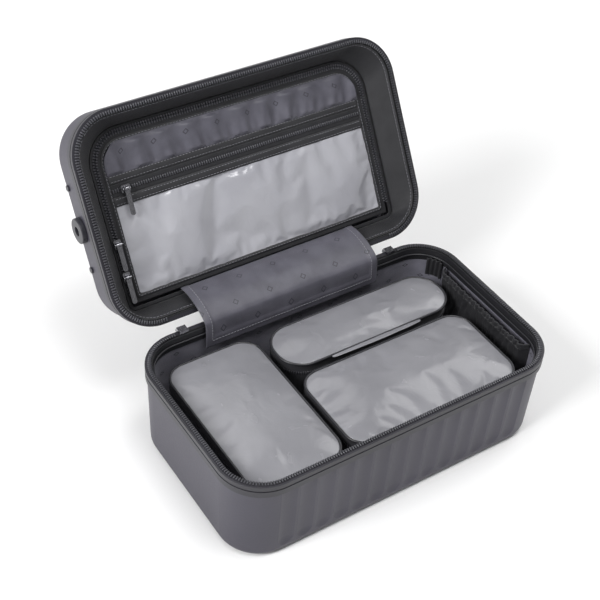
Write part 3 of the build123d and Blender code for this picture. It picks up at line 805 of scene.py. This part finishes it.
# the lid's lining, seen only with the divider open
lidLiner = {"inset": 5.0, "pullIn": 1.0, "wallShare": 0.4, "fromDivider": 3.2, "depth": 18.4,
    "sag": 0.6, "sagWave": (0.6, 35, 2.0)}


def lidLiningShape(u, v):
    # the wall, then the back panel in to its middle
    share = lidLiner["wallShare"]
    z = dividerZ + lidLiner["fromDivider"] + lidLiner["depth"] * min(v / share, 1.0)
    x, y, _, _ = loopAt(caseLoop(lidLiner["inset"], lidLiner["pullIn"]), u)
    if v > share:
        inward = (v - share) / (1 - share)
        x *= 1 - inward
        y *= 1 - inward
        z -= (lidLiner["sag"] + wave(x, y, lidLiner["sagWave"])) * min(inward * 3, 1.0)
    return x, y, z


lidLining = openWithLid(layFlat(shapedSheet("lidLiningCloth", lidLiningShape, grid=(160, 26),
    flat=(1010, 140), closed=True, thickness=0.8)))
finishPiece(lidLining, liningSatin, "lid", "lining", "lid_lining", "lid_back_lining")

# strips and rows round the divider: how far in each starts, its width and its rise
rings = {
    "outerTape": {"inset": 1.0, "width": 3.2, "rise": 0.5},
    "outerChain": {"inset": 4.4, "rise": -0.1},
    "innerTape": {"inset": 7.2, "width": 4.0, "rise": 0.5},
    "innerChain": {"inset": 7.05, "rise": -0.1},
    "binding": {"inset": 11.0, "width": 3.7, "rise": 0.6},
    "bindingSeam": {"inset": 12.9, "rise": -1.0},
}
liningChain = {"pastCorner": 10, "pitch": 2.6, "size": (1.5, 2.6, 1.7)}
seamStitch = {"pitch": 3.2, "size": (2.1, 0.45, 0.35)}


def ringLoop(ring):
    return growLoop(divider["outline"], -ring["inset"])


def ringStrip(name, ring, material, thickness=0.9, crown=0.0):
    # flat or slightly crowned band round the outline, towards its inside
    loop = ringLoop(ring)

    def strip(u, v):
        x, y, _, _ = loopAt(growLoop(loop, -ring["width"] * v), u)
        return x, y, dividerZ + ring["rise"] - crown * math.sin(math.pi * v)

    band = shapedSheet(name, strip, grid=(300, 6), flat=(980, ring["width"]), closed=True,
        thickness=thickness)
    return paint(band, material)


def chainHalf(name, ring):
    loop = ringLoop(ring)
    skip = (loop["halfX"] + liningChain["pastCorner"]) / loopLength(loop)
    path = loopPath(loop, dividerZ + ring["rise"], skip, 1 - skip)
    return paint(rowAlong(name, path, liningChain), coilNylon)


outerTape = ringStrip("liningZipperOuterTape", rings["outerTape"], tapeWeave)
outerTape = joinPieces(outerTape, chainHalf("outerChain", rings["outerChain"]))
finishPiece(openWithLid(outerTape), None, "lid", "zipper_tape", "lining_zipper_outer")
innerTape = ringStrip("liningZipperInnerTape", rings["innerTape"], tapeWeave)
innerTape = joinPieces(innerTape, chainHalf("innerChain", rings["innerChain"]))
finishPiece(openWithLid(innerTape), None, "divider", "zipper_tape", "lining_zipper_inner")
binding = ringStrip("dividerBindingStrip", rings["binding"], borderCloth, thickness=1.0, crown=1.0)
bindingPath = loopPath(ringLoop(rings["bindingSeam"]), dividerZ + rings["bindingSeam"]["rise"])
binding = joinPieces(binding, stitches("bindingStitches", bindingPath, seamStitch, closed=True))
finishPiece(openWithLid(binding), None, "divider", "piping", "divider_binding")
print("stage: lid border and lining zipper made")


field = growLoop(divider["outline"], -divider["fieldInset"])


def fieldPoint(u, y):
    # a place across the divider's field at depth y, inside its rounded front corners
    corner = field["front"] + field["frontRadius"]
    half = field["halfX"]
    if y < corner:
        rise = min((corner - y) / field["frontRadius"], 1.0)
        half -= field["frontRadius"] * (1 - math.sqrt(max(1 - rise * rise, 0.0)))
    return -half + 2 * half * u, half


# the divider's backing, seen from behind
backer = {"margin": 6, "behind": 3.7, "wave": (0.3, 40, 3.0)}


def backingShape(u, v):
    margin = backer["margin"]
    y = field["front"] - margin + (field["back"] + margin - field["front"] + margin) * v
    x, half = fieldPoint(u, max(y, field["front"] + 0.5))
    z = dividerZ + backer["behind"] + wave(x, y, backer["wave"])
    return x * (half + margin) / half, y, z


backing = openWithLid(shapedSheet("dividerBackingCloth", backingShape, grid=(60, 40),
    flat=(284, 160), thickness=1.0))
finishPiece(backing, liningSatin, "divider", "lining", "divider_backing")

# gathered panel: broad soft folds run up it, with small ones near the trim
gathers = {
    "lift": 0.4, "puff": 1.6, "drift": (5.5, 45, 2.2), "broad": 2.1, "broadRate": 0.235,
    "broadChange": (0.6, 50, 7.7), "small": 0.6, "smallRate": 0.61, "sag": (1.0, 18, 4.4),
}


def gatheredShape(u, v):
    front = field["front"] + 0.3
    y = front + (divider["gatheredBack"] + 1.0 - front) * v
    x, _ = fieldPoint(u, y)
    seam = smoothStep(v, 0.0, 0.16) * (1 - smoothStep(v, 0.88, 1.0))
    drift = x + wave(x, v * 20, gathers["drift"]) + v * 4 * math.sin(x * 0.02)
    change = 0.75 + wave(x, 0, gathers["broadChange"])
    broad = math.sin(drift * gathers["broadRate"]) * gathers["broad"] * change
    small = math.sin(drift * gathers["smallRate"] + 2.1) * gathers["small"]
    small = small * smoothStep(v, 0.3, 1.0)
    folds = gathers["puff"] + broad + small + wave(x, y, gathers["sag"])
    return x, y, dividerZ - gathers["lift"] - folds * seam


gathered = openWithLid(shapedSheet("gatheredPanelCloth", gatheredShape, grid=(260, 36),
    flat=(300, 34), thickness=0.7))
finishPiece(gathered, liningSatin, "divider", "lining", "gathered_panel")

# vinyl window: a slack sheet with long creases that settles as cloth
vinyl = {
    "behind": 0.4, "puff": 0.5, "crease": {"turn": 62, "long": 90, "narrow": 30},
    "creaseHigh": 0.5, "creaseSeed": 1.3, "broad": (1.1, 60, 3.3),
    "small": (0.5, 22, 8.3),
}
windowCloth = {"quality": 8, "mass": 0.15, "tension": 30.0, "bending": 6.0, "growth": 0.014,
    "pressure": -0.5, "steps": 24}


def windowShape(u, v):
    y = divider["windowFront"] - 1.0 + (field["back"] + 1.0 - divider["windowFront"]) * v
    x, _ = fieldPoint(u, y)
    inside = smoothStep(min(u, 1 - u, v, 1 - v), 0.0, 0.12)
    folds = (vinyl["creaseHigh"] * crease(x, y, vinyl["crease"], vinyl["creaseSeed"])
        + wave(x, y, vinyl["broad"]) + wave(x, y, vinyl["small"]))
    return x, y, dividerZ + vinyl["behind"] - (vinyl["puff"] + folds) * inside


window = openWithLid(shapedSheet("vinylWindowFilm", windowShape, grid=(120, 44), flat=(270, 84),
    thickness=0.35, smoothing=1, cloth=windowCloth))
finishPiece(window, windowPvc, "divider", "clear_vinyl", "vinyl_window")

# strips across the divider, either side of its zipper, and the seams along them
trim = {"overlap": 0.6, "crown": 0.7, "wave": (0.15, 20, 1.0), "seamLift": 0.75}
pocketZipper = {"lift": 0.9, "pitch": 2.4, "size": (1.4, 3.6, 1.5)}


def crossStrip(name, front, back, crown, material):
    def strip(u, v):
        y = front + (back - front) * v
        x, _ = fieldPoint(u, y)
        return x, y, dividerZ - crown * math.sin(math.pi * v) + wave(x, y, trim["wave"])

    band = shapedSheet(name, strip, grid=(160, 6), flat=(270, back - front), thickness=0.8)
    return paint(band, material)


def crossRow(name, y, lift, inset, row):
    half = field["halfX"] - inset
    return rowAlong(name, [(-half + 2 * half * i / 40, y, dividerZ - lift) for i in range(41)], row)


trims = crossStrip("pocketTrimStrips", divider["gatheredBack"],
    divider["zipFront"] + trim["overlap"], trim["crown"], borderCloth)
lowerTrim = crossStrip("lowerTrim", divider["zipBack"] - trim["overlap"], divider["windowFront"],
    trim["crown"], borderCloth)
seamPlaces = (divider["gatheredBack"] + 1.6, divider["zipFront"] - 1.4, divider["zipBack"] + 1.4,
    divider["windowFront"] - 1.6)
trimSeams = [paint(crossRow("seam", y, trim["seamLift"], 2, seamStitch), stitchThread)
    for y in seamPlaces]
trims = openWithLid(joinPieces(trims, lowerTrim, *trimSeams))
finishPiece(trims, None, "divider", "border", "pocket_trims")
pocketTape = crossStrip("pocketZipperTapeCloth", divider["zipFront"], divider["zipBack"], 0.0,
    tapeWeave)
finishPiece(openWithLid(pocketTape), None, "divider", "zipper_tape", "pocket_zipper_tape")
zipMiddle = (divider["zipFront"] + divider["zipBack"]) / 2
pocketCoil = crossRow("pocketZipperCoil", zipMiddle, pocketZipper["lift"], 1, pocketZipper)
finishPiece(openWithLid(pocketCoil), coilNylon, "divider", "zipper_coil", "pocket_zipper_teeth")
print("stage: divider made")


# pouches: dark cloth sides, a welt round the top, and a crowned film top
pouches = {
    "left": {"radius": 20.0, "crown": 2.4, "seed": 1.0, "creaseTurn": 78, "slack": 0.0008},
    "back": {"radius": 26.0, "crown": 2.0, "seed": 4.0, "creaseTurn": 8, "slack": 0.0008},
    "right": {"radius": 20.0, "crown": 2.6, "seed": 9.0, "creaseTurn": 20, "slack": 0.003},
}
bagLook = {"bottomShare": 0.12, "sideEnd": 0.85, "seamDrop": 1.2, "topDip": 5.0, "bulge": 0.4,
    "bulgeWave": 1.1, "turnIn": 2.5}
weltLook = {"inset": 0.4, "drop": 1.0, "radius": 1.25}
filmLook = {"inset": 1.2, "drop": 0.8, "rise": 0.6, "crease": 0.35, "broad": (0.8, 48),
    "small": (0.3, 16)}
pouchZipper = {"inset": 0.2, "drop": 11.5, "pitch": 2.2, "size": (1.3, 0.9, 3.0)}
# sewn film: stiff enough that its folds stay broad
filmCloth = {**windowCloth, "bending": 2.5, "pressure": 2.5}


def squareToLoop(loop, a, b):
    # keeps straight grid lines over the middle and bends them round the corners
    reach = max(abs(a), abs(b))
    if reach < 1e-6:
        return 0.0, 0.0
    halfX, halfY, radius = loop["halfX"], loop["back"], loop["frontRadius"]
    x, y = a / reach * halfX, b / reach * halfY
    overX, overY = abs(x) - (halfX - radius), abs(y) - (halfY - radius)
    if overX > 0 and overY > 0:
        span = math.hypot(overX, overY)
        x = math.copysign(halfX - radius + overX / span * radius, x)
        y = math.copysign(halfY - radius + overY / span * radius, y)
    return x * reach, y * reach


def pouchPath(loop, middle, z):
    return [(x + middle.x, y + middle.y, z) for x, y, z in loopPath(loop, z)]


def makePouch(name, look):
    low, high = [[c / mm for c in corner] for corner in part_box(f"pouch_{name}_bag")]
    middle = Vector(((low[0] + high[0]) / 2, (low[1] + high[1]) / 2, 0))
    seam = high[2]
    loop = roundedLoop((high[0] - low[0]) / 2, (high[1] - low[1]) / 2, look["radius"])
    body = f"pouch_{name}"
    title = f"pouch{name.title()}"

    def bagShape(u, v):
        # the bottom, the side, then the top's rim under the film
        start, end = bagLook["bottomShare"], bagLook["sideEnd"]
        side = min(max((v - start) / (end - start), 0.0), 1.0)
        z = low[2] + (seam - bagLook["seamDrop"] - low[2]) * side
        bulge = 0.0
        if side not in (0.0, 1.0):
            uneven = wave(u * 500, z, (1.0, 24, look["seed"]))
            bulge = -bagLook["bulge"] - bagLook["bulgeWave"] * uneven ** 2
        turnIn = bagLook["turnIn"] * (1 - smoothStep(side, 0.0, 0.1))
        inward = max((start - v) / start, (v - end) / (1 - end) * 0.5, 0.0)
        x, y, _, _ = loopAt(growLoop(loop, bulge - turnIn), u)
        z -= bagLook["topDip"] * smoothStep(v, 0.87, 1.0)
        return x * (1 - inward) + middle.x, y * (1 - inward) + middle.y, z

    bag = shapedSheet(f"{title}Bag", bagShape, grid=(160, 40), flat=(500, 120), closed=True)
    editMesh(bag, (bpy.ops.mesh.select_non_manifold, {}), (bpy.ops.mesh.edge_face_add, {}),
        (bpy.ops.mesh.select_all, {"action": "SELECT"}),
        (bpy.ops.mesh.normals_make_consistent, {"inside": False}))
    finishPiece(bag, nylonCloth, body, "pouch_fabric", f"pouch_{name}_bag")

    weltPath = pouchPath(growLoop(loop, -weltLook["inset"]), middle, seam - weltLook["drop"])
    bead = beadAlong(f"{title}Welt", weltPath, weltLook["radius"])
    finishPiece(bead, weltPvc, body, "pouch_piping", f"pouch_{name}_piping")

    filmCrease = {"turn": look["creaseTurn"], "long": 70, "narrow": 24}

    def topShape(u, v):
        # square grid drawn onto the rounded outline, crowned and creased
        a, b = 2 * u - 1, 2 * v - 1
        reach = max(abs(a), abs(b))
        x, y = squareToLoop(growLoop(loop, -filmLook["inset"]), a, b)
        folds = (filmLook["crease"] * crease(x, y, filmCrease, look["seed"])
            + wave(x, y, (*filmLook["broad"], look["seed"] + 5))
            + wave(x, y, (*filmLook["small"], look["seed"] + 7)))
        crown = (look["crown"] + filmLook["rise"]) * (1 - reach ** 8)
        z = seam - filmLook["drop"] + crown + folds * smoothStep(1 - reach, 0.0, 0.22)
        return x + middle.x, y + middle.y, z

    top = shapedSheet(f"{title}Film", topShape, grid=(64, 64),
        flat=(high[0] - low[0], high[1] - low[1]), thickness=0.35, smoothing=1,
        cloth={**filmCloth, "growth": look["slack"]})
    finishPiece(top, pouchPvc, body, "pouch_film", f"pouch_{name}_window")

    chainPath = pouchPath(growLoop(loop, -pouchZipper["inset"]), middle, seam - pouchZipper["drop"])
    chain = rowAlong(f"{title}Zipper", chainPath, pouchZipper, closed=True)
    finishPiece(chain, coilNylon, body, "pouch_fabric", f"pouch_{name}_zipper")


for pouchName, pouchLook in pouches.items():
    makePouch(pouchName, pouchLook)

# film carry strap along the back pouch's front edge
strap = {"left": -3.0, "right": 98.0, "back": 20.6, "front": 13.4, "z": 77.0, "rise": 3.4,
    "wave": (0.5, 15, 2.0)}


def strapShape(u, v):
    x = between(strap, "left", "right", u)
    bow = math.sin(math.pi * u) ** 0.5 if 0 < u < 1 else 0.0
    out = (strap["back"] - strap["front"]) * (0.25 + 0.75 * v) * (0.35 + 0.65 * bow)
    z = strap["z"] + strap["rise"] * bow * (0.7 + 0.3 * v) + wave(x, v * 8, strap["wave"]) * bow
    return x, strap["back"] - 0.6 - out, z


pouchStrap = shapedSheet("pouchBackStrap", strapShape, grid=(90, 6), flat=(103, 10), thickness=0.4)
finishPiece(pouchStrap, pouchPvc, "pouch_back", "pouch_film")
print("stage: pouches made")


# the frame's own pieces and their finishes
sliderParts = ["pocket_slider", "pocket_pull"] + [f"{kind}_{part}_{name}"
    for kind, names in (("lining", ("upper", "lower")), ("main", ("left", "right")))
    for part in ("slider", "pull") for name in names]
cadLooks = {
    shellAbs: ["base_shell", "lid_shell"],
    bandTpr: ["base_rim_band", "lid_rim_band"],
    tapeCloth: ["base_zipper_tape", "lid_zipper_tape"],
    trimPp: ["base_liner_frame", "handle_mounts", "carry_handle"],
    studAbs: ["strap_studs", "lid_bumpers"],
    blackSteel: ["hinge_base_leaves", "hinge_lid_leaves", "hinge_pins", "hinge_base_rivets",
    "hinge_lid_rivets"],
    nickel: sliderParts + [f"pouch_{name}_slider" for name in pouches],
}
for finish, names in cadLooks.items():
    for name in names:
        paint(nodes[name], finish)
print("stage: finishes given")


# studio, in metres: pale floor that fades to white with distance, soft lamps, and a world that
# looks white to the camera
studio = {
    "floorSize": 14.0,
    "floor": "#f7f7f7",
    "floorRoughness": 0.9,
    "fadeStart": 0.9,
    "fadeEnd": 2.4,
    "world": 0.29,
    "aim": (0, 0.05, 0.1),
    "lamps": [
    {"name": "keyLamp", "at": (-2.1, -0.2, 1.7), "size": 0.9, "power": 54.0},
    {"name": "topLamp", "at": (0.25, -0.65, 2.8), "size": 1.2, "power": 36.0},
    {"name": "fillLamp", "at": (1.9, 0.7, 2.1), "size": 1.3, "power": 13.0},
    {"name": "backLamp", "at": (0.2, 2.0, 1.9), "size": 1.6, "power": 12.0},
    ],
}
plainWhite = {"Color": (1.0, 1.0, 1.0, 1.0), "Strength": 1.0}


def mixShaders(tree, factor, first, second, target):
    mix = addNode(tree, "ShaderNodeMixShader", links={"Fac": factor, 1: first, 2: second})
    tree.links.new(mix.outputs["Shader"], tree.nodes[target].inputs["Surface"])


def makeFloor():
    deselectAll()
    bpy.ops.mesh.primitive_grid_add(x_subdivisions=4, y_subdivisions=4, size=studio["floorSize"])
    floor = bpy.context.active_object
    floor.name = "studioFloor"
    material, tree, shader, place = startMaterial("studioPaper")
    paper = {"Base Color": linear(studio["floor"]), "Roughness": studio["floorRoughness"]}
    setNode(tree, shader, paper)
    away = addNode(tree, "ShaderNodeVectorMath", {"operation": "LENGTH"},
        {"Vector": (place, "Object")})
    fade = addNode(tree, "ShaderNodeMapRange",
        {"From Min": studio["fadeStart"], "From Max": studio["fadeEnd"]},
        {"Value": (away, "Value")})
    glow = addNode(tree, "ShaderNodeEmission", plainWhite)
    mixShaders(tree, (fade, "Result"), (shader, "BSDF"), (glow, "Emission"), "Material Output")
    floor.data.materials.append(material)


def makeWorld():
    world = bpy.data.worlds.new("studioWorld")
    bpy.context.scene.world = world
    world.use_nodes = True
    tree = world.node_tree
    plain = setNode(tree, tree.nodes["Background"], {**plainWhite, "Strength": studio["world"]})
    white = addNode(tree, "ShaderNodeBackground", plainWhite)
    rays = addNode(tree, "ShaderNodeLightPath")
    mixShaders(tree, (rays, "Is Camera Ray"), (plain, "Background"), (white, "Background"),
        "World Output")


def makeLamp(lamp):
    deselectAll()
    bpy.ops.object.light_add(type="AREA", location=lamp["at"])
    made = bpy.context.active_object
    made.name = lamp["name"]
    made.data.size = lamp["size"]
    made.data.energy = lamp["power"]
    aim = Vector(studio["aim"]) - made.location
    made.rotation_euler = aim.to_track_quat("-Z", "Y").to_euler()


makeFloor()
makeWorld()
for lamp in studio["lamps"]:
    makeLamp(lamp)

# camera, from the photograph's fitted view, in degrees and millimetres
lens = {
    "azimuth": -35.745, "elevation": 41.885, "roll": 4.367, "distance": 1171.4,
    "target": (-5.7, 72.6, 105.6), "focal": 75.67, "sensor": 36.0, "clipStart": 0.01,
}


def makeCamera():
    az, el, roll = (math.radians(lens[key]) for key in ("azimuth", "elevation", "roll"))
    back = Vector((math.sin(az) * math.cos(el), -math.cos(az) * math.cos(el), math.sin(el)))
    right = (-back).cross(Vector((0, 0, 1))).normalized()
    up = right.cross(-back)
    rolledRight = right * math.cos(roll) + up * math.sin(roll)
    rolledUp = up * math.cos(roll) - right * math.sin(roll)
    place = (Vector(lens["target"]) + back * lens["distance"]) * mm
    bpy.ops.object.camera_add()
    camera = bpy.context.active_object
    camera.data.lens = lens["focal"]
    camera.data.sensor_width = lens["sensor"]
    camera.data.clip_start = lens["clipStart"]
    turn = Matrix((rolledRight, rolledUp, back)).transposed().to_4x4()
    camera.matrix_world = Matrix.Translation(place) @ turn
    bpy.context.scene.camera = camera


makeCamera()
bpy.context.scene.view_settings.view_transform = "Standard"
print("stage: studio made")
